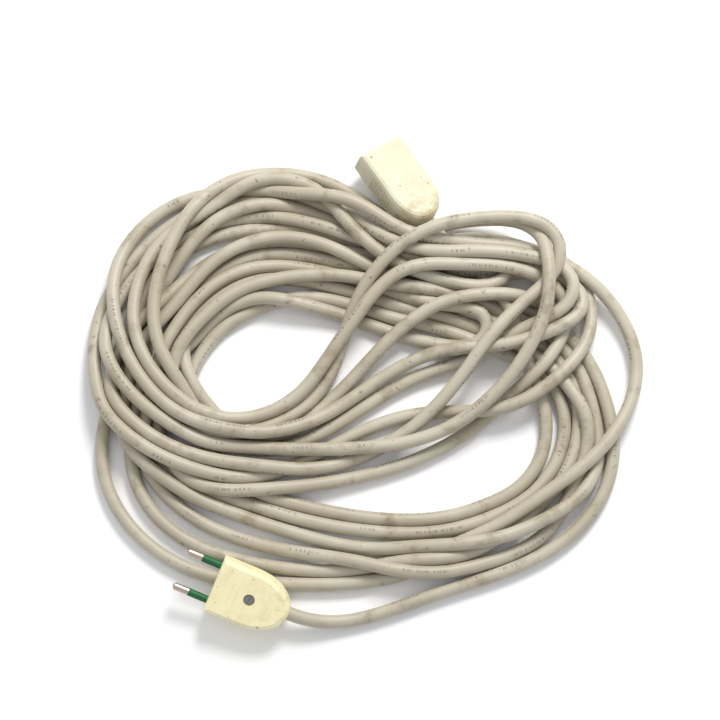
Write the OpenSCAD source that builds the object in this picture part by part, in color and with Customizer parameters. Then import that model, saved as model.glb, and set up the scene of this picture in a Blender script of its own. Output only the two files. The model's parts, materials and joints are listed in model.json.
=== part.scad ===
// Two-core extension lead: a rewirable round-pin plug, a rewirable line socket and the loosely
// heaped cord between them. The origin is under the line socket, on the floor; +Z is up.

/* [Plug] */
// Length of the plug body from its front face to the cord exit
plug_long = 41; // [36:1:48]
// Width of the plug body
plug_wide = 29; // [27:1:34]
// Thickness of the plug body
plug_thick = 15; // [14:1:20]
// How far the pins reach out of the front face
pin_reach = 19; // [17:0.5:20]
// Distance between the two pins, centre to centre
pin_spacing = 19; // [19:0.5:20]
// Diameter of the bare pin tips
pin_diameter = 4; // [4:0.1:4.8]

/* [Socket] */
// Length of the socket body from its face to the cord exit
socket_long = 48; // [44:1:56]
// Width of the socket body
socket_wide = 27; // [26:1:34]
// Thickness of the socket body
socket_thick = 16; // [16:1:22]
// Number of grip ribs on each side of each socket half
rib_count = 11; // [0:1:13]

/* [Shells] */
// Side wall of both bodies
wall = 1.8; // [1.2:0.1:2.4]
// Wall over and under the works
skin = 1.4; // [1.2:0.1:2]
// Edge rounding of both bodies
edge = 2.2; // [1:0.1:3]
// Length over which the plug body narrows to its rounded rear end
plug_round = 22; // [18:0.5:24]
// Length over which the socket body narrows to its rounded rear end
socket_round = 18; // [17.5:0.5:20]

/* [Cord] */
// Outside diameter of the cord sheath
cord_diameter = 7; // [5:0.1:9]
// Diameter of one insulated core
core_diameter = 2.4; // [1.8:0.1:3]
// Height of the heap where turns cross
heap_high = 20; // [14:1:40]

/* [Screws] */
// Cover screw shank diameter
cover_screw = 3.2; // [3:0.1:4]
// Clamp and terminal screw shank diameter
small_screw = 2.4; // [2:0.1:3]

/* [Hidden] */
$fn = 48;
gap = 0.05;
cord_r = cord_diameter / 2;
core_r = core_diameter / 2;
pin_y = pin_spacing / 2;
pin_r = pin_diameter / 2;
contact_bore = pin_r + 0.02;
barrel_r = 2.9;
plug_screw_x = 19.5;
socket_screw_x = 24;
plug_clamp_x = 30.5;
socket_clamp_x = 38;
clamp_y = 6.3;
heap_split = -20;
plug_turn = [17, 6, -22];
plug_place = [-98, -213.5, 14.1];
socket_turn = [-18, 0, -55];
socket_place = [-10.63, 16.69, 11.17];
// Where the cord and the plug lie, from the socket
lay = [4.4, -1.2, 0];

// Paths of the cores inside the bodies, [x, y].
plug_core_path = [[27, 1.4], [25.9, 1.4], [24.2, 4.4], [21.5, 8], [17, 9.5], [9.6, 9.5]];
socket_core_path = [[34, 1.4], [33.1, 1.4], [31.1, 4], [30.2, 7.2], [29.2, 9.5], [27, 9.5]];

// Route points, [x, y, z], of the stretches that lie clear of the heap.
lead_route = [[-34, -229, 3.5], [-13, -225, 3.5], [8, -218, 3.5], [29, -212, 3.5], [50, -207, 3.5],
    [67, -201, 3.5], [82, -190, 3.5], [97, -175, 3.5], [106, -158, 3.5], [110, -142, 3.5],
    [108, -126, 3.5], [103, -112, 3.5], [96, -102, 3.5]];
outer_route = [[100, -56, 14], [108, -65, 14], [117, -76, 14], [122, -90, 14], [122.5, -102, 14],
    [119, -115, 14], [112, -128, 13], [102, -141, 10], [90, -152, 6], [76, -163, 4], [61, -174, 3.5],
    [45, -184, 3.5], [29, -192, 3.5], [13, -200, 3.5], [-3, -205, 3.5], [-18, -209, 3.5],
    [-34, -211, 3.5], [-50, -211, 3.5], [-66, -211, 3.5], [-84, -210, 3.5], [-101, -207, 3.5],
    [-116, -202, 3.5], [-130, -195, 3.5]];
inner_route = [[-126, -176, 3.5], [-118, -185, 3.5], [-108, -193, 3.5], [-94, -199, 3.5], [-78, -202, 3.5],
    [-62, -203, 3.5], [-46, -203, 3.5], [-33, -200, 3.5], [-22, -193, 3.5]];
socket_route = [[22, -30, 11.5], [29, -38, 12], [38, -50, 13]];

// Outline of the heap and of its two openings, [x, y].
heap_edge = [[-166, -88], [-163, -61], [-153, -40], [-137, -20], [-111, -2], [-84, 8], [-56, 11],
    [-38, 6], [-32, -6], [-18, -24], [-3, -38], [14, -42], [30, -34], [60, -17], [80, -20],
    [90, -34], [99, -56], [106, -75], [106, -92], [100, -104], [98, -125], [92, -138], [80, -150],
    [62, -164], [45, -174], [28, -182], [8, -189], [-14, -194], [-40, -194], [-70, -190],
    [-98, -184], [-118, -180], [-134, -194], [-146, -184], [-156, -166], [-162, -146],
    [-163, -128], [-164, -108]];
left_opening = [[-109, -87], [-101, -79], [-82, -72], [-61, -70], [-42, -78], [-36, -87],
    [-45, -105], [-61, -120], [-82, -127], [-101, -122], [-111, -113], [-115, -100]];
right_opening = [[-48, -165], [-29, -157], [13, -148], [48, -128], [68, -124], [66, -141],
    [54, -160], [23, -174], [-13, -173]];

function unit(v) = v / norm(v);
function heading(p, i) = unit(p[min(i + 1, len(p) - 1)] - p[max(i - 1, 0)]);
function side(t) = unit(cross(t, abs(t[2]) > 0.9 ? [1, 0, 0] : [0, 0, 1]));
function ring(c, t, r, n) = let(s = side(t), u = cross(s, t))
    [for (k = [0:n - 1]) c + r * cos(360 * k / n) * s + r * sin(360 * k / n) * u];

// Puts children in the plug's own frame: x from the front face to the cord exit, z through it.
module at_plug() {
    translate(plug_place + lay) rotate(plug_turn) children();
}

// Puts children in the socket's own frame.
module at_socket() {
    translate(socket_place) rotate(socket_turn) children();
}

// A round bar along x.
module bar(x, y, z, long, r) {
    translate([x, y, z]) rotate([0, 90, 0]) cylinder(h = long, r = r);
}

// A round flexible run through the points of a route.
module run(p, r, n) {
    count = len(p);
    points = [for (i = [0:count - 1]) each ring(p[i], heading(p, i), r, n)];
    sides = [for (i = [0:count - 2]) for (k = [0:n - 1])
        [i * n + k, i * n + (k + 1) % n, (i + 1) * n + (k + 1) % n, (i + 1) * n + k]];
    first = [for (k = [n - 1:-1:0]) k];
    last = [for (k = [0:n - 1]) (count - 1) * n + k];
    polyhedron(points = points, faces = concat(sides, [first, last]), convexity = 10);
}

// Half the width of a body at x: straight sides in front, half an ellipse behind.
function half_at(x, long, wide, back) =
    let(k = max(0, x - long + back) / back) wide / 2 * sqrt(1 - k * k);

// The upright cylinders that fill the elliptical rear end of a body.
module rear(z, high, inset, long, wide, back, pull) {
    b = wide / 2;
    reach = (back * back - b * b) / back;
    for (k = [0, 0.33, 0.62, 0.84, 1]) {
        translate([long - back + k * (reach - pull), 0, z])
            cylinder(h = high, r = b * sqrt(1 - k * k * reach / back) - inset, $fn = 60);
    }
}

// One thin level of a body.
module level(z, inset, long, wide, back, pull) {
    translate([inset, -wide / 2 + inset, z]) cube([long - back - inset, wide - 2 * inset, 0.05]);
    rear(z, 0.05, inset, long, wide, back, pull);
}

// The outside of one half, from its parting face outwards.
module half_outside(long, wide, thick, back, pull) {
    hull() {
        level(0, 0, long, wide, back, 0);
        level(thick / 2 - edge, 0, long, wide, back, pull * 0.3);
        level(thick / 2 - edge * 0.35, edge * 0.28, long, wide, back, pull * 0.7);
        level(thick / 2 - 0.05, edge * 0.9, long, wide, back, pull);
    }
}

// The space inside one half.
module half_inside(long, wide, thick, back, side_wall, front) {
    high = thick / 2 - skin + 1;
    translate([front, -wide / 2 + side_wall, -1]) cube([long - back - front, wide - 2 * side_wall, high]);
    hull() rear(-1, high, wall, long, wide, back, 0);
}

// A slotted screw pointing down, the underside of its head at z = 0.
module slotted_screw(shank_r, long, head_r, head_high) {
    difference() {
        union() {
            translate([0, 0, -long]) cylinder(h = long + 0.1, r = shank_r);
            cylinder(h = head_high, r = head_r);
        }
        translate([-head_r - 1, -0.35, head_high * 0.45]) cube([2 * head_r + 2, 0.7, head_high]);
    }
}

// Posts that take the clamp screws, inside the lower half.
module clamp_posts(x, floor_z) {
    for (s = [-1, 1]) {
        translate([x, s * clamp_y, floor_z]) cylinder(h = 0.5 - floor_z, r = 2.4);
    }
}

module clamp_post_bores(x, floor_z) {
    for (s = [-1, 1]) {
        translate([x, s * clamp_y, floor_z + 1]) cylinder(h = 2 - floor_z, r = small_screw / 2 + gap);
    }
}

module clamp_bar(x) {
    difference() {
        translate([x - 2.2, -clamp_y - 2.2, 0.6]) cube([4.4, 2 * clamp_y + 4.4, 3.9]);
        bar(x - 4, 0, 0, 8, cord_r + gap);
        for (s = [-1, 1]) {
            translate([x, s * clamp_y, 0]) cylinder(h = 6, r = small_screw / 2 + gap);
        }
    }
}

module clamp_screw(x, s) {
    translate([x, s * clamp_y, 4.5]) slotted_screw(small_screw / 2, 7, 2.1, 0.8);
}

// Ribs under a terminal that hold it in line.
module terminal_seat(x, s, floor_z) {
    difference() {
        translate([x, s * pin_y - 2.6, floor_z]) cube([1.6, 5.2, -floor_z]);
        bar(x - 1, s * pin_y, 0, 4, barrel_r + gap);
    }
}

module terminal_screw(x, s) {
    translate([x, s * pin_y, 3.3]) slotted_screw(small_screw / 2, 2.2, 1.9, 1.2);
}

module copper_end(x, s) {
    bar(x, s * pin_y, 0, 4.3, 0.7);
}

// One core from the end of the sheath into its terminal, through points [x, y] on one side.
module core(path, s) {
    run([for (q = path) [q[0], s * q[1], 0]], core_r, 12);
}

module plug_base() {
    floor_z = -plug_thick / 2 + skin;
    color([0.91, 0.86, 0.68]) at_plug() difference() {
        union() {
            difference() {
                rotate([180, 0, 0]) half_outside(plug_long, plug_wide, plug_thick - 0.1, plug_round, 0.6);
                rotate([180, 0, 0]) half_inside(plug_long, plug_wide, plug_thick, plug_round, wall, wall);
            }
            translate([plug_screw_x, 0, floor_z]) cylinder(h = -floor_z, r = 4.2);
            clamp_posts(plug_clamp_x, floor_z);
            for (s = [-1, 1]) {
                terminal_seat(4.5, s, floor_z);
            }
        }
        translate([plug_screw_x, 0, -6.3]) cylinder(h = 8, r = 2.6);
        clamp_post_bores(plug_clamp_x, floor_z);
        bar(plug_long - 4, 0, 0, 6, cord_r + gap);
        for (s = [-1, 1]) {
            bar(-1, s * pin_y, 0, 4, pin_r + 0.05);
        }
    }
}

module plug_cover() {
    color([0.91, 0.86, 0.68]) at_plug() translate([0, 0, 0.1]) difference() {
        union() {
            difference() {
                half_outside(plug_long, plug_wide, plug_thick - 0.2, plug_round, 0.6);
                half_inside(plug_long, plug_wide, plug_thick - 0.2, plug_round, wall, wall);
            }
            translate([plug_screw_x, 0, 0.2]) cylinder(h = plug_thick / 2 - skin, r = 4.4);
        }
        translate([plug_screw_x, 0, -1]) cylinder(h = 12, r = cover_screw / 2 + 0.2);
        translate([plug_screw_x, 0, plug_thick / 2 - 2.2]) cylinder(h = 4, r = 2.95);
        bar(plug_long - 4, 0, -0.1, 6, cord_r + gap);
        for (s = [-1, 1]) {
            bar(-1, s * pin_y, -0.1, 4, pin_r + 0.05);
        }
        for (i = [0:12], s = [-1, 1]) {
            translate([14 + i * 1.3, s * half_at(14 + i * 1.3, plug_long, plug_wide, plug_round), 3])
                cylinder(h = 9, r = 0.25, $fn = 13);
        }
    }
}

module plug_insert() {
    color([0.78, 0.62, 0.30]) at_plug() translate([plug_screw_x, 0, -6.3]) difference() {
        cylinder(h = 6, r = 2.58);
        translate([0, 0, -1]) cylinder(h = 8, r = cover_screw / 2 + gap);
    }
}

module plug_cover_screw() {
    color([0.62, 0.62, 0.60]) at_plug() translate([plug_screw_x, 0, plug_thick / 2 - 2.05]) {
        rotate([0, 0, 75]) slotted_screw(cover_screw / 2, 11.5, 2.45, 1.4);
    }
}

module plug_pin(s) {
    color([0.80, 0.76, 0.70]) at_plug() difference() {
        union() {
            translate([-pin_reach, s * pin_y, 0]) rotate([0, 90, 0]) cylinder(h = 1, r1 = pin_r * 0.55, r2 = pin_r);
            bar(-pin_reach + 1, s * pin_y, 0, 7.5, pin_r);
            bar(-10.6, s * pin_y, 0, 13, 1.57);
            bar(2.1, s * pin_y, 0, 10, barrel_r);
        }
        bar(5, s * pin_y, 0, 12, core_r + 0.15);
        translate([8, s * pin_y, 0]) cylinder(h = 6, r = small_screw / 2 + gap);
    }
}

module plug_sleeve(s) {
    color([0.02, 0.42, 0.16]) at_plug() difference() {
        union() {
            bar(-10.5, s * pin_y, 0, 10.5, pin_r);
            bar(-0.1, s * pin_y, 0, 1.8, pin_r - 0.25);
        }
        bar(-12, s * pin_y, 0, 16, 1.6);
    }
}

module socket_base() {
    floor_z = -socket_thick / 2 + skin;
    color([0.90, 0.86, 0.70]) at_socket() difference() {
        union() {
            difference() {
                rotate([180, 0, 0]) half_outside(socket_long, socket_wide, socket_thick, socket_round, 1.4);
                rotate([180, 0, 0]) half_inside(socket_long, socket_wide, socket_thick, socket_round, 0.95, 3.1);
            }
            translate([socket_screw_x, 0, floor_z - 0.2]) cylinder(h = -floor_z, r = 4.4);
            clamp_posts(socket_clamp_x, floor_z);
            for (s = [-1, 1]) {
                terminal_seat(21, s, floor_z);
                for (i = [0:rib_count - 1]) {
                    translate([13.5 + i * 1.6, s * socket_wide / 2, -4.6]) cylinder(h = 4.3, r = 0.4, $fn = 13);
                }
            }
        }
        translate([-1, -11.9, -6.2]) cube([4.2, 23.8, 8]);
        translate([socket_screw_x, 0, -9]) cylinder(h = 12, r = cover_screw / 2 + 0.2);
        translate([socket_screw_x, 0, -12]) cylinder(h = 5.8, r = 3.4);
        clamp_post_bores(socket_clamp_x, floor_z);
        bar(socket_long - 4, 0, 0, 6, cord_r + gap);
    }
}

module socket_cover() {
    color([0.90, 0.86, 0.70]) at_socket() translate([0, 0, 0.1]) difference() {
        union() {
            difference() {
                half_outside(socket_long, socket_wide, socket_thick - 0.2, socket_round, 1.4);
                half_inside(socket_long, socket_wide, socket_thick - 0.2, socket_round, 0.95, 3.1);
            }
            translate([socket_screw_x, 0, 0.2]) cylinder(h = socket_thick / 2 - skin, r = 4.2);
            for (i = [0:rib_count - 1], s = [-1, 1]) {
                translate([13.5 + i * 1.6, s * socket_wide / 2, 0.3]) cylinder(h = 4.3, r = 0.4, $fn = 13);
            }
        }
        translate([-1, -11.9, -1]) cube([4.2, 23.8, 7.3]);
        translate([socket_screw_x, 0, -1]) cylinder(h = 7.4, r = 2.6);
        bar(socket_long - 4, 0, -0.1, 6, cord_r + gap);
    }
}

module socket_insert() {
    color([0.78, 0.62, 0.30]) at_socket() translate([socket_screw_x, 0, 0.4]) difference() {
        cylinder(h = 6, r = 2.58);
        translate([0, 0, -1]) cylinder(h = 8, r = cover_screw / 2 + gap);
    }
}

module socket_cover_screw() {
    color([0.62, 0.62, 0.60]) at_socket() translate([socket_screw_x, 0, -6.25]) mirror([0, 0, 1]) {
        slotted_screw(cover_screw / 2, 12, 2.8, 1.4);
    }
}

module socket_face() {
    color([0.86, 0.82, 0.66]) at_socket() difference() {
        translate([0, -11.85, -6.15]) cube([3, 23.7, 12.25]);
        for (s = [-1, 1]) {
            bar(-1, s * pin_y, 0, 6, pin_r + 0.5);
        }
    }
}

module socket_contact(s) {
    color([0.80, 0.65, 0.32]) at_socket() difference() {
        union() {
            bar(3.2, s * pin_y, 0, 16, 2.65);
            bar(19, s * pin_y, 0, 9.5, barrel_r);
        }
        bar(3, s * pin_y, 0, 16, contact_bore);
        bar(22.5, s * pin_y, 0, 12, core_r + 0.15);
        translate([25, s * pin_y, 0]) cylinder(h = 6, r = small_screw / 2 + gap);
    }
}

module terminal_at_plug(s) {
    color([0.72, 0.72, 0.70]) at_plug() terminal_screw(8, s);
}

module terminal_at_socket(s) {
    color([0.72, 0.72, 0.70]) at_socket() terminal_screw(25, s);
}

module plug_clamp_bar() {
    color([0.85, 0.80, 0.62]) at_plug() clamp_bar(plug_clamp_x);
}

module socket_clamp_bar() {
    color([0.85, 0.80, 0.62]) at_socket() clamp_bar(socket_clamp_x);
}

module plug_clamp_screw(s) {
    color([0.66, 0.66, 0.64]) at_plug() clamp_screw(plug_clamp_x, s);
}

module socket_clamp_screw(s) {
    color([0.66, 0.66, 0.64]) at_socket() clamp_screw(socket_clamp_x, s);
}

module plug_core(s, tint) {
    color(tint) at_plug() core(plug_core_path, s);
}

module socket_core(s, tint) {
    color(tint) at_socket() core(socket_core_path, s);
}

module plug_copper(s) {
    color([0.80, 0.45, 0.25]) at_plug() copper_end(5.1, s);
}

module socket_copper(s) {
    color([0.80, 0.45, 0.25]) at_socket() copper_end(22.6, s);
}

module plug_cord_end() {
    color([0.80, 0.77, 0.70]) at_plug() bar(27.1, 0, 0, plug_long - 27.1, cord_r);
}

module socket_cord_end() {
    color([0.80, 0.77, 0.70]) at_socket() bar(34.1, 0, 0, socket_long - 34.1, cord_r);
}

module cord_lead() {
    color([0.80, 0.77, 0.70]) translate(lay) run(concat([[-60.1, -228.8, 9.8], [-53.7, -231.4, 9.1], [-44, -232, 5.5]], lead_route), cord_r, 10);
}

module cord_outer_run() {
    color([0.80, 0.77, 0.70]) translate(lay) run(outer_route, cord_r, 10);
}

module cord_inner_run() {
    color([0.80, 0.77, 0.70]) translate(lay) run(inner_route, cord_r, 10);
}

module cord_socket_lead() {
    color([0.80, 0.77, 0.70]) translate(lay) run(concat([[12.55, -21.5, 11.2], [14.85, -24.8, 11.2]], socket_route), cord_r, 10);
}

module heap() {
    difference() {
        union() {
            linear_extrude(height = heap_high * 0.6) polygon(heap_edge);
            linear_extrude(height = heap_high) offset(delta = -6) polygon(heap_edge);
        }
        translate([0, 0, -1]) linear_extrude(height = heap_high + 2) polygon(left_opening);
        translate([0, 0, -1]) linear_extrude(height = heap_high + 2) polygon(right_opening);
    }
}

// The heap in two halves, so that neither reaches round the socket.
module cord_heap_left() {
    color([0.80, 0.77, 0.70]) translate(lay) intersection() {
        heap();
        translate([heap_split - 300, -250, -1]) cube([300, 300, 100]);
    }
}

module cord_heap_right() {
    color([0.80, 0.77, 0.70]) translate(lay) intersection() {
        heap();
        translate([heap_split, -250, -1]) cube([300, 300, 100]);
    }
}

brown = [0.40, 0.22, 0.12];
blue = [0.12, 0.28, 0.62];

plug_base();
plug_cover();
plug_insert();
plug_cover_screw();
plug_pin(-1);  // plug_pin_left
plug_pin(1);  // plug_pin_right
plug_sleeve(-1);  // plug_sleeve_left
plug_sleeve(1);  // plug_sleeve_right
terminal_at_plug(-1);  // plug_terminal_screw_left
terminal_at_plug(1);  // plug_terminal_screw_right
plug_clamp_bar();
plug_clamp_screw(-1);  // plug_clamp_screw_left
plug_clamp_screw(1);  // plug_clamp_screw_right
plug_core(-1, brown);  // plug_core_brown
plug_core(1, blue);  // plug_core_blue
plug_copper(-1);  // plug_copper_left
plug_copper(1);  // plug_copper_right
plug_cord_end();
socket_base();
socket_cover();
socket_insert();
socket_cover_screw();
socket_face();
socket_contact(-1);  // socket_contact_left
socket_contact(1);  // socket_contact_right
terminal_at_socket(-1);  // socket_terminal_screw_left
terminal_at_socket(1);  // socket_terminal_screw_right
socket_clamp_bar();
socket_clamp_screw(-1);  // socket_clamp_screw_left
socket_clamp_screw(1);  // socket_clamp_screw_right
socket_core(-1, brown);  // socket_core_brown
socket_core(1, blue);  // socket_core_blue
socket_copper(-1);  // socket_copper_left
socket_copper(1);  // socket_copper_right
socket_cord_end();
cord_lead();
cord_outer_run();
cord_inner_run();
cord_socket_lead();
cord_heap_left();
cord_heap_right();
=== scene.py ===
import json
import math

import bpy
import numpy as np
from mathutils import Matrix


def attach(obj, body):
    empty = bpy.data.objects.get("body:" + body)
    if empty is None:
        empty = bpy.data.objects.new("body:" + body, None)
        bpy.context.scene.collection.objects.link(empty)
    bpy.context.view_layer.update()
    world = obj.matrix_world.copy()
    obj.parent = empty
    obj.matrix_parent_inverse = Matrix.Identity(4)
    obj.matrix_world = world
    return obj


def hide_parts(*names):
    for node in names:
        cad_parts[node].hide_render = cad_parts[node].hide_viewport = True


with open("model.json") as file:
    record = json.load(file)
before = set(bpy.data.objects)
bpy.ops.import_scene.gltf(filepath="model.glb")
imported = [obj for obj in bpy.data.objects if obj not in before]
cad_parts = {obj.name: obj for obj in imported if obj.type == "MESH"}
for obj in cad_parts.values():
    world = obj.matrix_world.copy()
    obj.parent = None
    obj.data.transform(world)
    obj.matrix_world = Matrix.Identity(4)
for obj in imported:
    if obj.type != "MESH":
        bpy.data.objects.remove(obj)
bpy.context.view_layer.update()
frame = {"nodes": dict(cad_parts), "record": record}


# ---------------------------------------------------------------- camera
CAMERA_TILT = 77                  # degrees above the floor
CAMERA_AWAY = 1.1                 # metres from the point it looks at
CAMERA_AIM = (-0.0196, -0.0952)   # that point on the floor, metres
CAMERA_LENS = 104.1


def add_camera():
    tilt = math.radians(CAMERA_TILT)
    data = bpy.data.cameras.new("camera")
    data.sensor_width = 36
    data.lens = CAMERA_LENS
    data.clip_start = 0.05
    cam = bpy.data.objects.new("camera", data)
    cam.location = (CAMERA_AIM[0], CAMERA_AIM[1] - CAMERA_AWAY * math.cos(tilt),
                    CAMERA_AWAY * math.sin(tilt))
    cam.rotation_euler = (math.pi / 2 - tilt, 0, 0)
    bpy.context.collection.objects.link(cam)
    bpy.context.scene.camera = cam


add_camera()

# ---------------------------------------------------------------- the cord's route
# One row per turn, in travel order from the plug to the socket: [x, y, level]. x and y are whole
# millimetres, before LAY is added. level is the place in the pile, 0 on the floor.
LEAD = [
    [-33, -232, 0], [-13, -227, 0], [8, -219, 0], [29, -212, 0], [50, -207, 0], [67, -201, 0],
    [82, -190, 0], [97, -175, 0], [106, -158, 0], [110, -142, 0], [108, -126, 0], [103, -113, 0],
    [96, -102, 0], [82, -83, 1], [64, -67, 2], [45, -57, 3], [24, -50, 4], [-3, -48, 5]]
TURN_1 = [
    [-31, -47, 5], [-42, -41, 5], [-53, -37, 5], [-64, -36, 5], [-75, -37, 5], [-86, -39, 5],
    [-97, -45, 5], [-106, -52, 5], [-113, -61, 5], [-118, -70, 5], [-123, -80, 5], [-125, -89, 5],
    [-126, -98, 5], [-131, -120, 4], [-137, -138, 4], [-134, -150, 4], [-124, -157, 4],
    [-108, -164, 4], [-91, -166, 4], [-75, -165, 4], [-59, -162, 4], [-35, -158, 4],
    [-22, -158, 4], [-8, -154, 4], [9, -146, 4], [25, -138, 4], [41, -129, 4], [51, -117, 5],
    [60, -105, 5], [70, -97, 5], [79, -89, 5], [88, -79, 6], [92, -69, 8], [88, -58, 10]]
TURN_2 = [
    [80, -51, 11], [72, -47, 11], [63, -44, 11], [52, -42, 11], [35, -41, 11], [19, -42, 11],
    [5, -46, 11], [-10, -52, 11], [-21, -61, 11], [-28, -71, 11], [-32, -79, 11], [-38, -92, 11],
    [-46, -105, 11], [-56, -117, 11], [-64, -123, 11], [-75, -128, 11], [-86, -130, 11],
    [-97, -130, 11], [-107, -126, 11], [-120, -117, 11], [-131, -106, 11], [-139, -92, 11],
    [-141, -77, 11], [-142, -63, 11], [-141, -52, 11], [-137, -42, 10], [-129, -30, 9],
    [-120, -21, 9], [-108, -15, 9], [-98, -9, 9], [-88, -4, 9], [-78, -1, 9], [-69, 1, 9],
    [-60, 1, 9], [-50, -3, 9], [-43, -9, 9], [-35, -16, 9], [-23, -28, 9], [-13, -38, 9]]
TURN_3 = [
    [6, -50, 8], [26, -57, 7], [40, -62, 6], [56, -62, 6], [64, -52, 6], [60, -40, 6],
    [46, -33, 6], [30, -33, 6], [12, -38, 6], [-8, -44, 6], [-22, -43, 6], [-39, -34, 6], [-51, -29, 6], [-63, -28, 6],
    [-75, -30, 6], [-86, -34, 6], [-97, -39, 6], [-108, -46, 6], [-120, -57, 6], [-134, -72, 6],
    [-148, -84, 7], [-158, -97, 7], [-157, -111, 7], [-152, -121, 7], [-144, -130, 7],
    [-135, -136, 7], [-124, -142, 7], [-112, -146, 7], [-97, -150, 7], [-75, -153, 7],
    [-53, -154, 7], [-34, -151, 8], [-21, -146, 10], [-8, -138, 13], [4, -131, 13], [16, -122, 13],
    [26, -111, 13], [36, -97, 13], [46, -82, 13], [57, -67, 13], [67, -56, 13], [77, -49, 13]]
TURN_4 = [
    [87, -41, 12], [88, -31, 12], [79, -26, 12], [65, -25, 12], [55, -24, 12], [41, -24, 12],
    [26, -25, 12], [12, -28, 12], [0, -33, 12], [-10, -40, 12], [-17, -48, 11], [-22, -57, 10],
    [-26, -68, 10], [-30, -81, 10], [-35, -94, 10], [-42, -109, 10], [-49, -119, 10],
    [-57, -127, 9], [-67, -134, 7], [-80, -138, 6], [-96, -137, 6], [-111, -128, 6],
    [-120, -116, 6], [-122, -104, 7], [-119, -95, 8], [-113, -84, 8], [-109, -76, 8],
    [-102, -69, 8], [-91, -62, 8], [-80, -57, 8], [-70, -53, 8], [-58, -50, 8], [-41, -50, 8],
    [-23, -52, 8]]
TURN_5 = [
    [-8, -54, 7], [8, -56, 6], [24, -60, 5], [45, -67, 4], [61, -76, 4], [76, -88, 3],
    [87, -101, 3], [93, -111, 3], [97, -121, 3], [99, -132, 3], [98, -146, 3], [92, -160, 3],
    [81, -173, 3], [67, -182, 3], [50, -189, 3], [29, -195, 3], [10, -197, 3], [-5, -197, 3],
    [-21, -195, 3], [-42, -191, 3], [-58, -186, 3], [-74, -181, 3], [-90, -175, 3],
    [-107, -169, 3], [-121, -160, 3], [-136, -147, 3], [-146, -130, 3], [-148, -114, 4],
    [-142, -99, 5], [-133, -88, 7]]
TURN_6 = [
    [-128, -78, 8], [-124, -66, 8], [-117, -54, 8], [-108, -46, 8], [-97, -39, 8], [-86, -33, 8],
    [-75, -30, 8], [-63, -28, 8], [-51, -29, 8], [-39, -33, 8], [-29, -39, 8], [-18, -47, 8],
    [-3, -58, 6], [16, -66, 4], [36, -73, 3], [56, -81, 2], [74, -91, 2], [86, -104, 2],
    [92, -116, 2], [95, -127, 2], [95, -138, 2], [91, -149, 2], [84, -158, 2], [74, -167, 2],
    [62, -176, 2], [40, -188, 2], [13, -201, 2], [-10, -207, 2], [-32, -207, 2], [-48, -206, 1],
    [-64, -203, 1], [-80, -201, 1], [-95, -199, 1], [-110, -193, 1], [-121, -186, 1],
    [-132, -177, 1], [-139, -166, 1], [-144, -151, 1], [-146, -135, 1], [-144, -120, 2]]
TURN_7 = [
    [-138, -106, 4], [-136, -92, 6], [-136, -79, 6], [-135, -66, 6], [-130, -52, 6],
    [-124, -42, 6], [-117, -33, 6], [-110, -28, 6], [-102, -22, 6], [-93, -17, 6], [-82, -13, 6],
    [-70, -11, 6], [-59, -11, 6], [-48, -14, 6], [-38, -20, 6], [-28, -28, 6], [-13, -34, 7],
    [4, -36, 8], [18, -33, 8], [30, -31, 8], [41, -31, 8], [55, -34, 8], [67, -37, 8],
    [82, -41, 9], [92, -45, 9], [99, -52, 9], [103, -61, 9], [101, -71, 9], [95, -83, 9],
    [88, -95, 8], [78, -108, 7], [66, -117, 6], [52, -122, 5], [34, -125, 5], [18, -124, 5],
    [4, -122, 5], [-8, -123, 5], [-18, -127, 5], [-27, -133, 5], [-36, -141, 5], [-49, -150, 5],
    [-64, -156, 5], [-81, -159, 5], [-97, -158, 5], [-112, -155, 5], [-128, -149, 5],
    [-140, -141, 5], [-148, -133, 5]]
TURN_8 = [
    [-154, -124, 4], [-158, -115, 4], [-161, -105, 4], [-164, -92, 4], [-164, -79, 4],
    [-160, -65, 4], [-155, -56, 5], [-150, -49, 6], [-145, -41, 6], [-136, -30, 6],
    [-123, -20, 6], [-112, -16, 6], [-101, -11, 6], [-90, -8, 6], [-77, -6, 6], [-64, -6, 6],
    [-53, -9, 6], [-42, -15, 6], [-32, -23, 6], [-20, -32, 6], [-2, -40, 8], [18, -44, 10],
    [37, -43, 10], [56, -42, 10], [72, -43, 10], [86, -46, 10], [96, -52, 10], [99, -61, 9],
    [92, -68, 8], [79, -73, 8], [62, -80, 8], [48, -86, 8], [37, -91, 8], [25, -97, 8],
    [9, -103, 8], [-8, -110, 8], [-20, -117, 8], [-40, -131, 8], [-53, -140, 8], [-66, -145, 7],
    [-85, -142, 6], [-103, -132, 6], [-116, -118, 6], [-124, -105, 7]]
TURN_9 = [
    [-128, -95, 8], [-131, -86, 9], [-132, -76, 10], [-132, -66, 11], [-130, -55, 12],
    [-127, -44, 12], [-122, -33, 12], [-115, -21, 12], [-106, -10, 12], [-96, -2, 12],
    [-84, 4, 12], [-70, 7, 12], [-56, 8, 12], [-43, 5, 11], [-30, -1, 8], [-18, -10, 4],
    [-7, -21, 2], [4, -33, 2], [18, -42, 3], [34, -47, 4], [52, -48, 5], [70, -47, 6],
    [86, -44, 7], [97, -48, 8], [101, -58, 8], [94, -67, 8], [80, -66, 8], [64, -61, 8],
    [46, -57, 8], [31, -61, 8], [19, -66, 8], [9, -72, 8], [-2, -80, 8], [-13, -88, 8],
    [-24, -99, 8], [-36, -114, 8], [-47, -125, 7], [-60, -133, 5], [-78, -137, 4],
    [-98, -132, 4], [-112, -121, 4], [-118, -107, 4]]
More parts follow.
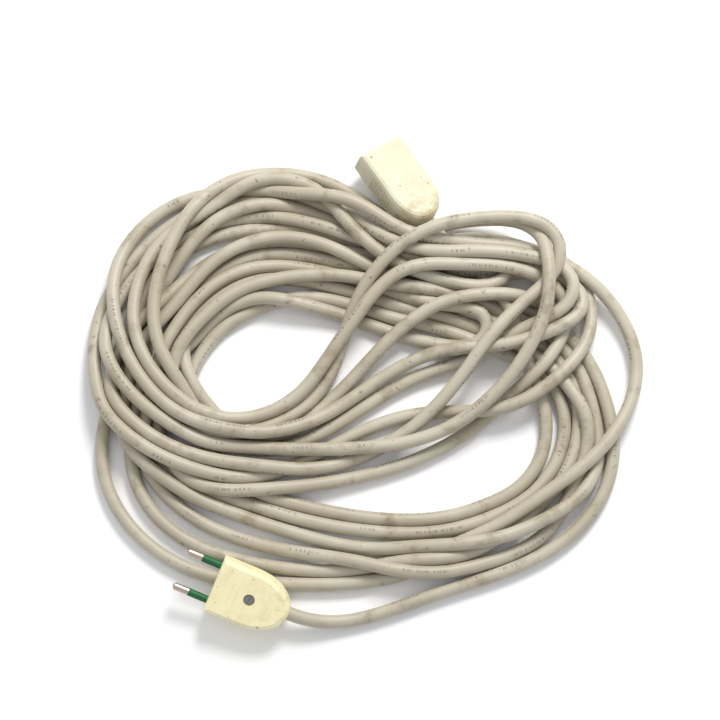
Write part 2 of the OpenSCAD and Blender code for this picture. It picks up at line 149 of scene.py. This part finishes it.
TURN_10 = [
    [-119, -92, 4], [-114, -79, 4], [-106, -67, 4], [-96, -57, 4], [-84, -50, 4], [-70, -46, 4],
    [-56, -46, 4], [-40, -50, 4], [-24, -56, 4], [0, -64, 3], [25, -71, 2], [48, -80, 2],
    [68, -90, 2], [83, -102, 2], [91, -116, 2], [95, -134, 2], [93, -151, 2], [88, -165, 2],
    [83, -175, 2], [76, -185, 2], [67, -193, 2], [55, -198, 2], [40, -202, 2], [24, -203, 2],
    [2, -204, 2], [-18, -203, 2], [-38, -200, 2], [-58, -196, 2], [-74, -192, 2], [-90, -188, 2],
    [-107, -182, 2], [-119, -172, 2], [-130, -160, 2], [-138, -147, 2], [-138, -132, 3],
    [-132, -118, 4]]
TURN_11 = [
    [-125, -106, 6], [-122, -95, 7], [-120, -84, 7], [-117, -74, 7], [-112, -65, 7],
    [-105, -57, 7], [-97, -50, 7], [-88, -44, 7], [-77, -40, 7], [-66, -39, 7], [-56, -41, 7],
    [-45, -46, 7], [-30, -54, 6], [-12, -62, 5], [8, -65, 5], [28, -66, 5], [44, -65, 5],
    [56, -72, 4], [54, -84, 4], [42, -90, 4], [34, -90, 4], [20, -86, 4], [4, -83, 4], [-8, -80, 4],
    [-18, -77, 4], [-30, -73, 4], [-42, -69, 4], [-54, -64, 4], [-66, -60, 4], [-77, -61, 4],
    [-90, -64, 4], [-101, -69, 4], [-113, -82, 4]]
TURN_12 = [
    [-124, -97, 3], [-140, -108, 2], [-153, -117, 1], [-160, -130, 1], [-160, -146, 1],
    [-155, -163, 1], [-145, -180, 0], [-132, -194, 0], [-116, -204, 0], [-100, -210, 0],
    [-80, -212, 0], [-60, -213, 0], [-35, -212, 0], [-19, -210, 0], [-3, -206, 0], [13, -200, 0],
    [29, -193, 0], [45, -184, 0], [61, -174, 0], [77, -163, 1], [91, -151, 3], [103, -140, 5],
    [113, -127, 6], [121, -112, 7], [123, -101, 8], [122, -88, 8], [116, -75, 8], [107, -64, 8],
    [95, -53, 8], [75, -45, 9], [53, -40, 9], [32, -37, 9], [14, -34, 9], [0, -28, 9],
    [-12, -19, 9]]
TURN_13 = [
    [-24, -11, 9], [-43, -6, 9], [-64, -4, 9], [-80, -3, 9], [-95, -2, 9], [-108, -3, 9],
    [-121, -7, 9], [-133, -14, 10], [-143, -26, 10], [-150, -38, 10], [-154, -49, 10],
    [-155, -60, 10], [-154, -71, 10], [-151, -83, 10], [-143, -96, 10], [-134, -110, 10],
    [-123, -121, 10], [-110, -129, 10], [-94, -134, 10], [-77, -135, 10], [-60, -133, 10],
    [-42, -127, 10], [-29, -118, 9], [-18, -106, 9], [-2, -97, 9], [17, -91, 9], [32, -87, 9],
    [50, -85, 9], [73, -82, 9], [90, -78, 9], [101, -70, 8], [102, -60, 7]]
TURN_14 = [
    [92, -52, 6], [75, -47, 6], [53, -44, 6], [30, -42, 6], [8, -38, 6], [-12, -33, 6],
    [-31, -25, 6], [-50, -18, 6], [-72, -15, 6], [-92, -18, 6], [-112, -27, 6], [-127, -35, 6],
    [-138, -43, 6], [-145, -52, 6], [-151, -62, 7], [-157, -71, 10], [-160, -81, 12],
    [-157, -94, 12], [-151, -106, 12], [-143, -116, 12], [-132, -124, 12], [-120, -131, 12],
    [-107, -137, 12], [-91, -140, 12], [-75, -142, 12], [-53, -144, 12], [-35, -143, 12],
    [-18, -142, 12], [-2, -140, 12], [14, -137, 12], [28, -131, 13], [39, -124, 14],
    [48, -116, 14], [55, -106, 14], [60, -95, 14], [66, -84, 14], [71, -73, 14], [75, -62, 14],
    [78, -51, 14], [81, -39, 14], [81, -28, 14], [72, -20, 13], [59, -18, 12], [47, -19, 10],
    [34, -21, 8]]
TURN_15 = [
    [22, -25, 5], [7, -30, 5], [-7, -30, 5], [-17, -28, 5], [-30, -27, 5], [-45, -26, 5],
    [-56, -22, 5], [-66, -19, 5], [-77, -18, 5], [-88, -20, 5], [-102, -26, 5], [-118, -38, 4],
    [-130, -55, 3], [-139, -78, 3], [-145, -103, 2], [-144, -125, 1], [-137, -143, 1],
    [-122, -156, 1], [-102, -163, 1], [-80, -169, 1], [-70, -174, 1], [-53, -180, 1],
    [-32, -184, 1], [-13, -185, 1], [9, -186, 1], [26, -185, 1], [42, -181, 1], [58, -172, 1],
    [70, -163, 1], [79, -152, 1], [84, -141, 1], [85, -129, 1], [84, -119, 1], [80, -109, 2],
    [74, -99, 3]]
TURN_16 = [
    [64, -89, 3], [50, -84, 3], [36, -82, 3], [14, -77, 3], [-2, -71, 3], [-15, -67, 3],
    [-32, -64, 3], [-50, -63, 3], [-70, -64, 3], [-86, -67, 3], [-97, -72, 3], [-107, -81, 3],
    [-112, -94, 2], [-114, -110, 1], [-109, -130, 1], [-97, -149, 0], [-84, -160, 0],
    [-71, -166, 0], [-59, -171, 0], [-42, -176, 0], [-21, -178, 0], [9, -179, 0], [29, -177, 0],
    [50, -171, 0], [62, -163, 0], [69, -153, 0], [73, -142, 0], [75, -131, 0], [74, -122, 1],
    [71, -113, 2], [67, -98, 2], [61, -86, 2], [53, -72, 3], [46, -58, 3], [39, -48, 4],
    [32, -39, 4], [25, -32, 3]]
ROUTE = (LEAD + TURN_1 + TURN_2 + TURN_3 + TURN_4 + TURN_5 + TURN_6 + TURN_7 + TURN_8 + TURN_9
         + TURN_10 + TURN_11 + TURN_12 + TURN_13 + TURN_14 + TURN_15 + TURN_16)
CORD_D = 7.0          # the cord's diameter
STEP = 3.5            # distance between points along it
CORD_SIDES = 16       # sides of its tube
ROUNDS = 420          # rounds of settling
HOLD_XY = 0.07        # how strongly a point keeps its place over the floor
FALL, LATE_FALL = 0.35, 0.12   # how far a point drops in a round, and in the last quarter
EASED = 9             # points over which the cord leaves a body
FOLD_REACH, FOLD_CHORD = 3, 16.5   # points either side of a bend stay this far apart


def turn_matrix(turn):
    a, b, c = np.radians(turn)
    rx = np.array([[1, 0, 0], [0, np.cos(a), -np.sin(a)], [0, np.sin(a), np.cos(a)]])
    ry = np.array([[np.cos(b), 0, np.sin(b)], [0, 1, 0], [-np.sin(b), 0, np.cos(b)]])
    rz = np.array([[np.cos(c), -np.sin(c), 0], [np.sin(c), np.cos(c), 0], [0, 0, 1]])
    return rz @ ry @ rx


LAY = np.array([4.4, -1.2, 0])   # where the cord and the plug lie, from the socket
PLUG_R, PLUG_AT = turn_matrix((17, 6, -22)), np.array([-98.0, -213.5, 14.1]) + LAY
SOCKET_R, SOCKET_AT = turn_matrix((-18, 0, -55)), np.array([-10.63, 16.69, 11.17])
PLUG_EXIT = PLUG_R @ np.array([41.0, 0, 0]) + PLUG_AT
SOCKET_EXIT = SOCKET_R @ np.array([48.0, 0, 0]) + SOCKET_AT


def spline(points, spacing):
    """A centripetal curve through the points, resampled at equal steps along its length."""
    p = np.vstack([2 * points[0] - points[1], points, 2 * points[-1] - points[-2]])
    out = []
    for i in range(1, len(p) - 2):
        q = p[i - 1:i + 3]
        gap = np.sqrt(np.linalg.norm(np.diff(q[:, :2], axis=0), axis=1)) + 1e-6
        t = np.concatenate([[0], np.cumsum(gap)])
        u = np.linspace(t[1], t[2], 12, endpoint=False)[:, None]
        a1 = (t[1] - u) / (t[1] - t[0]) * q[0] + (u - t[0]) / (t[1] - t[0]) * q[1]
        a2 = (t[2] - u) / (t[2] - t[1]) * q[1] + (u - t[1]) / (t[2] - t[1]) * q[2]
        a3 = (t[3] - u) / (t[3] - t[2]) * q[2] + (u - t[2]) / (t[3] - t[2]) * q[3]
        b1 = (t[2] - u) / (t[2] - t[0]) * a1 + (u - t[0]) / (t[2] - t[0]) * a2
        b2 = (t[3] - u) / (t[3] - t[1]) * a2 + (u - t[1]) / (t[3] - t[1]) * a3
        out.append((t[2] - u) / (t[2] - t[1]) * b1 + (u - t[1]) / (t[2] - t[1]) * b2)
    out.append(p[-2][None])
    return even(np.vstack(out), spacing, 2)


def even(p, spacing, axes=3):
    """The same line with its points at equal steps, measured over the first two or all three axes."""
    d = np.concatenate([[0], np.cumsum(np.linalg.norm(np.diff(p[:, :axes], axis=0), axis=1))])
    s = np.linspace(0, d[-1], int(round(d[-1] / spacing)) + 1)
    return np.stack([np.interp(s, d, p[:, k]) for k in range(p.shape[1])], 1)


def smooth(p, rounds, amount, reach):
    """Takes the wobble out of a row of points without shortening its curves."""
    for _ in range(rounds):
        q = p.copy()
        k = reach
        mid = (-p[:-4 * k] + 4 * p[k:-3 * k] + 4 * p[3 * k:-k] - p[4 * k:]) / 6
        q[2 * k:-2 * k] += amount * (mid - p[2 * k:-2 * k])
        p = q
    return p


def close_pairs(p, reach):
    """Pairs of points of the cord nearer than reach that aren't neighbours along it."""
    first, second = [], []
    for a in range(0, len(p), 400):
        block = p[a:a + 400]
        d = block[:, None, :] - p[None, :, :]
        near = np.einsum("ijk,ijk->ij", d, d) < reach * reach
        i, j = np.nonzero(near)
        keep = j - (i + a) > 4
        first.append(i[keep] + a)
        second.append(j[keep])
    return np.concatenate(first), np.concatenate(second)


def out_of_body(p, rotation, at, low, high, radius, lift):
    """Moves cord points out of a body's box, along its nearest side."""
    q = (p - at) @ rotation
    half = (high - low) / 2 + radius
    mid = (high + low) / 2
    d = q - mid
    over = half - np.abs(d)
    inside = np.all(over > 0, axis=1)
    if not inside.any():
        return p
    pick = over.copy()
    pick[:, 2] += lift
    axis = np.argmin(pick, axis=1)
    move = np.zeros_like(q)
    rows = np.nonzero(inside)[0]
    move[rows, axis[rows]] = np.sign(d[rows, axis[rows]]) * over[rows, axis[rows]]
    return p + move @ rotation.T


def ease_end(z, count):
    """Lets one coordinate leave a body's exit gently over the first few points."""
    t = np.arange(count + 1) / count
    near, far = (z[2] - z[0]) / 2 * count, (z[count + 1] - z[count - 1]) / 2 * count
    z[:count + 1] = ((2 * t ** 3 - 3 * t ** 2 + 1) * z[0] + (t ** 3 - 2 * t ** 2 + t) * near
                     + (3 * t ** 2 - 2 * t ** 3) * z[count] + (t ** 3 - t ** 2) * far)


def open_folds(p, reach, chord):
    """Pushes apart points on either side of a bend that is sharper than the cord can make."""
    d = p[2 * reach:] - p[:-2 * reach]
    length = np.linalg.norm(d, axis=1)[:, None] + 1e-9
    push = d / length * np.maximum(chord - length, 0) * 0.2
    q = p.copy()
    q[2 * reach:] += push
    q[:-2 * reach] -= push
    return q


def settle(route, rounds):
    """Lays the cord: gravity, its own stiffness, contact with itself, the floor and both bodies."""
    r = CORD_D / 2
    start = [PLUG_EXIT + PLUG_R[:, 0] * k for k in (0, 6, 12)]
    end = [SOCKET_EXIT + SOCKET_R[:, 0] * k for k in (12, 6, 0)]
    pts = np.array(route, float) + LAY
    pts[:, 2] = r + 0.3 + pts[:, 2] * (CORD_D + 0.4)
    p = spline(np.vstack([start, pts, end]), STEP)
    p[3:-3] = smooth(p, 30, 0.5, 4)[3:-3]
    for _ in range(3):
        p[:, 2:] = smooth(p[:, 2:], 20, 0.5, 6)
    p = even(p, STEP, 2)
    n = len(p)
    anchor = p[:, :2].copy()
    hold = np.zeros(n, bool)
    hold[:3] = hold[-3:] = True
    d0 = np.arange(3)[:, None] * STEP
    held = np.vstack([PLUG_EXIT + d0 * PLUG_R[:, 0], (SOCKET_EXIT + d0 * SOCKET_R[:, 0])[::-1]])
    p[hold] = held
    socket_box = (np.array([0, -13.5, -8]), np.array([47.0, 13.5, 8]))
    plug_box = (np.array([0, -14.5, -7.5]), np.array([40.0, 14.5, 7.5]))
    for k in range(rounds):
        p[:, 2] -= FALL if k < rounds * 0.75 else LATE_FALL
        p[:, :2] += HOLD_XY * (anchor - p[:, :2])
        p = smooth(p, 1, 0.5, 2)
        p[:, :2] = smooth(p[:, :2], 1, 0.3, 3)
        p[:, 2:] = smooth(p[:, 2:], 1, 0.4, 5)
        if k % 3 == 0:
            p[:, 2:] = smooth(p[:, 2:], 1, 0.35, 9)
        along = np.gradient(p, axis=0)
        along /= np.linalg.norm(along, axis=1)[:, None] + 1e-9
        if k % 8 == 0:
            i, j = close_pairs(p, CORD_D + 4.5)
        for _ in range(4):
            d = p[i] - p[j]
            dist = np.linalg.norm(d, axis=1) + 1e-9
            hit = dist < CORD_D
            a, b = i[hit], j[hit]
            push = d[hit] / dist[hit][:, None] * ((CORD_D - dist[hit]) * 0.5)[:, None]
            count = np.bincount(a, minlength=n) + np.bincount(b, minlength=n)
            scale = 1.0 / np.maximum(1, count * 0.4)
            move = np.stack([np.bincount(a, push[:, c], n) - np.bincount(b, push[:, c], n)
                             for c in range(3)], 1) * scale[:, None]
            move -= np.einsum("ij,ij->i", move, along)[:, None] * along
            p += move
            p = open_folds(p, FOLD_REACH, FOLD_CHORD)
        for c in range(3):
            ease_end(p[:, c], EASED)
        ease_end(p[::-1, 2], EASED - 1)
        p = out_of_body(p, SOCKET_R, SOCKET_AT, *socket_box, r + 0.2, 3.0)
        p = out_of_body(p, PLUG_R, PLUG_AT, *plug_box, r + 0.2, -9.0)
        p[:, 2] = np.maximum(p[:, 2], r)
        p[hold] = held
    return p


def tube(name, p, radius, sides):
    """A round mesh along the points p, with its length and turn in a UV map."""
    n = len(p)
    t = np.gradient(p, axis=0)
    t /= np.linalg.norm(t, axis=1)[:, None]
    side = np.zeros((n, 3))
    v = np.cross(t[0], (0, 0, 1.0))
    for k in range(n):
        v = v - t[k] * (v @ t[k])
        v /= np.linalg.norm(v)
        side[k] = v
    up = np.cross(side, t)
    ang = np.arange(sides) * 2 * np.pi / sides
    ring = side[:, None, :] * np.cos(ang)[None, :, None] + up[:, None, :] * np.sin(ang)[None, :, None]
    verts = (p[:, None, :] + radius * ring).reshape(-1, 3)
    a = np.arange(n - 1)[:, None] * sides + np.arange(sides)[None, :]
    b = np.arange(n - 1)[:, None] * sides + (np.arange(sides)[None, :] + 1) % sides
    faces = np.stack([a, b, b + sides, a + sides], -1).reshape(-1, 4)
    mesh = bpy.data.meshes.new(name)
    caps = [list(range(sides))[::-1], list(range((n - 1) * sides, n * sides))]
    mesh.from_pydata(verts.tolist(), [], faces.tolist() + caps)
    along = np.concatenate([[0], np.cumsum(np.linalg.norm(np.diff(p, axis=0), axis=1))])
    uv = mesh.uv_layers.new(name="cord")
    quad_u = np.stack([along[:-1], along[:-1], along[1:], along[1:]], 1)[:, None, :].repeat(sides, 1)
    quad_v = np.stack([ang, ang + ang[1], ang + ang[1], ang], 1)[None].repeat(n - 1, 0) / (2 * np.pi)
    flat = np.zeros((len(mesh.loops), 2))
    count = faces.shape[0] * 4
    flat[:count, 0] = quad_u.reshape(-1)
    flat[:count, 1] = quad_v.reshape(-1)
    uv.data.foreach_set("uv", flat.reshape(-1))
    mesh.polygons.foreach_set("use_smooth", [True] * len(faces) + [False, False])
    mesh.update()
    obj = bpy.data.objects.new(name, mesh)
    bpy.context.collection.objects.link(obj)
    return obj


def add_cord():
    line = settle(ROUTE, ROUNDS)
    line = even(smooth(line, 6, 0.5, 2), STEP)
    for c in range(3):
        ease_end(line[:, c], EASED)
        ease_end(line[::-1, c], EASED)
    line = np.vstack([PLUG_EXIT - 0.5 * PLUG_R[:, 0], line, SOCKET_EXIT - 0.5 * SOCKET_R[:, 0]])
    path = line[::-1] / 1000
    cord = tube("cord", path, CORD_D / 2000, CORD_SIDES)
    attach(cord, "root")
    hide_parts("cord_lead", "cord_outer_run", "cord_inner_run", "cord_socket_lead",
                "cord_heap_left", "cord_heap_right")
    return cord


cord = add_cord()


# ---------------------------------------------------------------- materials
class Shader:
    """A small helper around one node material."""

    def __init__(self, name):
        self.mat = bpy.data.materials.new(name)
        self.mat.use_nodes = True
        self.tree = self.mat.node_tree
        self.bsdf = self.tree.nodes["Principled BSDF"]

    def node(self, kind, **values):
        n = self.tree.nodes.new(kind)
        for k, v in values.items():
            if hasattr(n, k) and k not in n.inputs:
                setattr(n, k, v)
            else:
                n.inputs[k].default_value = v
        return n

    def link(self, a, b):
        self.tree.links.new(a, b)

    def noise(self, scale, detail=4.0, rough=0.5, coords=None, stretch=None):
        n = self.node("ShaderNodeTexNoise", Scale=scale, Detail=detail, Roughness=rough)
        c = coords or self.object_coords()
        if stretch:
            m = self.node("ShaderNodeMapping")
            m.inputs["Scale"].default_value = stretch
            self.link(c, m.inputs["Vector"])
            c = m.outputs["Vector"]
        self.link(c, n.inputs["Vector"])
        return n.outputs["Fac"]

    def object_coords(self):
        if not hasattr(self, "_coords"):
            self._coords = self.node("ShaderNodeTexCoord").outputs["Object"]
        return self._coords

    def ramp(self, value, low, high):
        n = self.node("ShaderNodeMapRange", interpolation_type="SMOOTHSTEP")
        n.inputs["From Min"].default_value = low
        n.inputs["From Max"].default_value = high
        self.link(value, n.inputs["Value"])
        return n.outputs["Result"]

    def math(self, op, a, b=None):
        n = self.node("ShaderNodeMath", operation=op)
        for k, v in enumerate((a, b)):
            if v is None:
                continue
            if hasattr(v, "links"):
                self.link(v, n.inputs[k])
            else:
                n.inputs[k].default_value = v
        return n.outputs["Value"]

    def mix(self, fac, a, b):
        n = self.node("ShaderNodeMix", data_type="RGBA")
        for sock, v in ((n.inputs[0], fac), (n.inputs[6], a), (n.inputs[7], b)):
            if hasattr(v, "links"):
                self.link(v, sock)
            elif isinstance(v, (int, float)):
                sock.default_value = v
            else:
                sock.default_value = (*v, 1)
        return n.outputs[2]

    def bump(self, height, strength, distance):
        n = self.node("ShaderNodeBump", Strength=strength, Distance=distance)
        self.link(height, n.inputs["Height"])
        self.link(n.outputs["Normal"], self.bsdf.inputs["Normal"])

    def set(self, **values):
        names = {"base": "Base Color", "rough": "Roughness", "metal": "Metallic", "ior": "IOR",
                 "spec": "Specular IOR Level"}
        for k, v in values.items():
            sock = self.bsdf.inputs[names[k]]
            if hasattr(v, "links"):
                self.link(v, sock)
            elif isinstance(v, tuple):
                sock.default_value = (*v, 1)
            else:
                sock.default_value = v


def cord_material():
    """Grey-beige sheath with grime, spots and a faint band of dashes, which spell nothing."""
    s = Shader("aged sheath")
    uv = s.node("ShaderNodeUVMap", uv_map="cord").outputs["UV"]
    xyz = s.node("ShaderNodeSeparateXYZ")
    s.link(uv, xyz.inputs[0])
    u, v = xyz.outputs["X"], xyz.outputs["Y"]
    clean = s.mix(s.ramp(s.noise(26, 3), 0.35, 0.65), (0.44, 0.395, 0.30), (0.52, 0.48, 0.385))
    grime = s.ramp(s.noise(60, 6, 0.65), 0.50, 0.72)
    tone = s.mix(s.math("MULTIPLY", grime, 0.75), clean, (0.26, 0.21, 0.13))
    spots = s.ramp(s.noise(230, 3, 0.55), 0.66, 0.72)
    tone = s.mix(s.math("MULTIPLY", spots, 0.6), tone, (0.20, 0.14, 0.08))
    turn = s.node("ShaderNodeMath", operation="FRACT")
    drift = s.node("ShaderNodeTexNoise", noise_dimensions="1D", Scale=1.6, Detail=1.0)
    s.link(u, drift.inputs["W"])
    s.link(s.math("MULTIPLY", s.math("ADD", v, drift.outputs["Fac"]), 2.0), turn.inputs[0])
    band = s.math("LESS_THAN", s.math("ABSOLUTE", s.math("SUBTRACT", turn.outputs[0], 0.5)), 0.07)
    cells = s.node("ShaderNodeTexNoise", noise_dimensions="1D", Scale=900.0, Detail=1.0)
    s.link(u, cells.inputs["W"])
    words = s.node("ShaderNodeTexNoise", noise_dimensions="1D", Scale=34.0, Detail=0.0)
    s.link(u, words.inputs["W"])
    ink = s.math("MULTIPLY", band, s.ramp(cells.outputs["Fac"], 0.50, 0.55))
    ink = s.math("MULTIPLY", ink, s.ramp(words.outputs["Fac"], 0.54, 0.57))
    tone = s.mix(s.math("MULTIPLY", ink, 0.55), tone, (0.10, 0.10, 0.095))
    s.set(base=tone, rough=0.46, ior=1.5, spec=0.45)
    s.bump(s.noise(420, 2), 0.12, 0.0004)
    return s.mat


def shell_material(name, tint, warm, centre, along, amount):
    """Aged cream plastic: faint streaks across the body, and more dirt towards its rear end."""
    s = Shader(name)
    body = s.mix(s.ramp(s.noise(38, 3), 0.3, 0.7), tint, warm)
    turn = s.node("ShaderNodeMapping", vector_type="TEXTURE")
    turn.inputs["Location"].default_value = centre
    turn.inputs["Rotation"].default_value = (0, 0, math.radians(along))
    s.link(s.object_coords(), turn.inputs["Vector"])
    place = s.node("ShaderNodeSeparateXYZ")
    s.link(turn.outputs["Vector"], place.inputs[0])
    across = s.noise(90, 5, 0.6, coords=turn.outputs["Vector"], stretch=(7.0, 0.6, 0.6))
    streak = s.ramp(across, 0.50, 0.72)
    body = s.mix(s.math("MULTIPLY", streak, 0.16), body, (0.62, 0.45, 0.22))
    rear = s.ramp(place.outputs["X"], 0.022, 0.046)
    patches = s.ramp(s.noise(130, 6, 0.7), 0.42, 0.68)
    dirt = s.math("MULTIPLY", patches, s.math("ADD", s.math("MULTIPLY", rear, amount), 0.12))
    body = s.mix(dirt, body, (0.42, 0.28, 0.12))
    spots = s.ramp(s.noise(330, 2), 0.69, 0.74)
    body = s.mix(s.math("MULTIPLY", spots, 0.7), body, (0.14, 0.08, 0.04))
    s.set(base=body, rough=0.5, ior=1.5, spec=0.3)
    s.bump(s.noise(700, 2), 0.08, 0.0003)
    return s.mat


def metal_material(name, tint, rough):
    """Bare metal with darker worn patches."""
    s = Shader(name)
    worn = s.math("MULTIPLY", s.ramp(s.noise(420, 4, 0.6), 0.50, 0.75), 0.4)
    s.set(base=s.mix(worn, tint, (0.30, 0.24, 0.18)), rough=rough, metal=1.0)
    s.bump(s.noise(1500, 2), 0.1, 0.0002)
    return s.mat


def plain_material(name, tint, rough):
    """Plain plastic, a little darker in places."""
    s = Shader(name)
    shade = s.ramp(s.noise(160, 3), 0.3, 0.7)
    s.set(base=s.mix(shade, tint, tuple(c * 0.86 for c in tint)), rough=rough)
    return s.mat


MATERIALS = {
    "cord_sheath": cord_material(),
    "plug_shell": shell_material("plug shell", (0.96, 0.91, 0.60), (0.93, 0.84, 0.52),
                                 (-0.0936, -0.2147, 0), -22, 0.35),
    "socket_shell": shell_material("socket shell", (0.70, 0.68, 0.53), (0.66, 0.635, 0.46),
                                   (-0.0106, 0.0167, 0), -55, 0.6),
    "socket_face": plain_material("socket face", (0.80, 0.75, 0.56), 0.5),
    "clamp_plastic": plain_material("clamp bar", (0.78, 0.72, 0.52), 0.5),
    "pin_nickel": metal_material("pin nickel", (0.62, 0.52, 0.44), 0.34),
    "pin_sleeve": plain_material("pin sleeve", (0.0, 0.125, 0.03), 0.5),
    "zinc_screw": metal_material("zinc screw", (0.30, 0.31, 0.31), 0.42),
    "terminal_screw": metal_material("terminal screw", (0.60, 0.60, 0.58), 0.34),
    "brass": metal_material("brass", (0.72, 0.52, 0.22), 0.32),
    "copper": metal_material("copper", (0.75, 0.36, 0.18), 0.38),
    "core_brown": plain_material("brown core", (0.15, 0.055, 0.025), 0.45),
    "core_blue": plain_material("blue core", (0.02, 0.07, 0.30), 0.45),
}


def paint():
    for item in frame["record"]["subparts"]:
        mesh = frame["nodes"][item["node"]].data
        mesh.materials.clear()
        mesh.materials.append(MATERIALS[item["material_slot"]])
    cord.data.materials.append(MATERIALS["cord_sheath"])


paint()


# ---------------------------------------------------------------- floor and light
def add_floor():
    bpy.ops.mesh.primitive_plane_add(size=8, location=(0, 0, -0.0002))
    floor = bpy.context.object
    floor.name = "floor"
    s = Shader("paper floor")
    s.set(base=(0.97, 0.97, 0.98), rough=0.8, spec=0.1)
    floor.data.materials.append(s.mat)


def add_light(name, at, size, power, tint=(1, 1, 1)):
    data = bpy.data.lights.new(name, "AREA")
    data.shape = "DISK"
    data.size = size
    data.energy = power
    data.color = tint
    obj = bpy.data.objects.new(name, data)
    obj.location = at
    target = np.array([-0.03, -0.1, 0.0])
    d = target - np.array(at)
    yaw = math.atan2(d[1], d[0])
    pitch = math.acos(-d[2] / np.linalg.norm(d))
    obj.rotation_euler = (pitch, 0, yaw - math.pi / 2)
    bpy.context.collection.objects.link(obj)


def set_look():
    view = bpy.context.scene.view_settings
    view.view_transform = "Standard"
    view.look = "None"
    view.exposure = 0.0


def add_world():
    world = bpy.data.worlds.new("studio")
    world.use_nodes = True
    back = world.node_tree.nodes["Background"]
    back.inputs["Color"].default_value = (0.97, 0.98, 1.0, 1)
    back.inputs["Strength"].default_value = 0.62
    bpy.context.scene.world = world


add_floor()
set_look()
add_world()
add_light("key", (0.30, 0.75, 1.0), 0.5, 15.0, (1.0, 0.985, 0.95))
add_light("fill", (-0.6, 0.35, 1.1), 0.9, 1.5, (0.97, 0.98, 1.0))
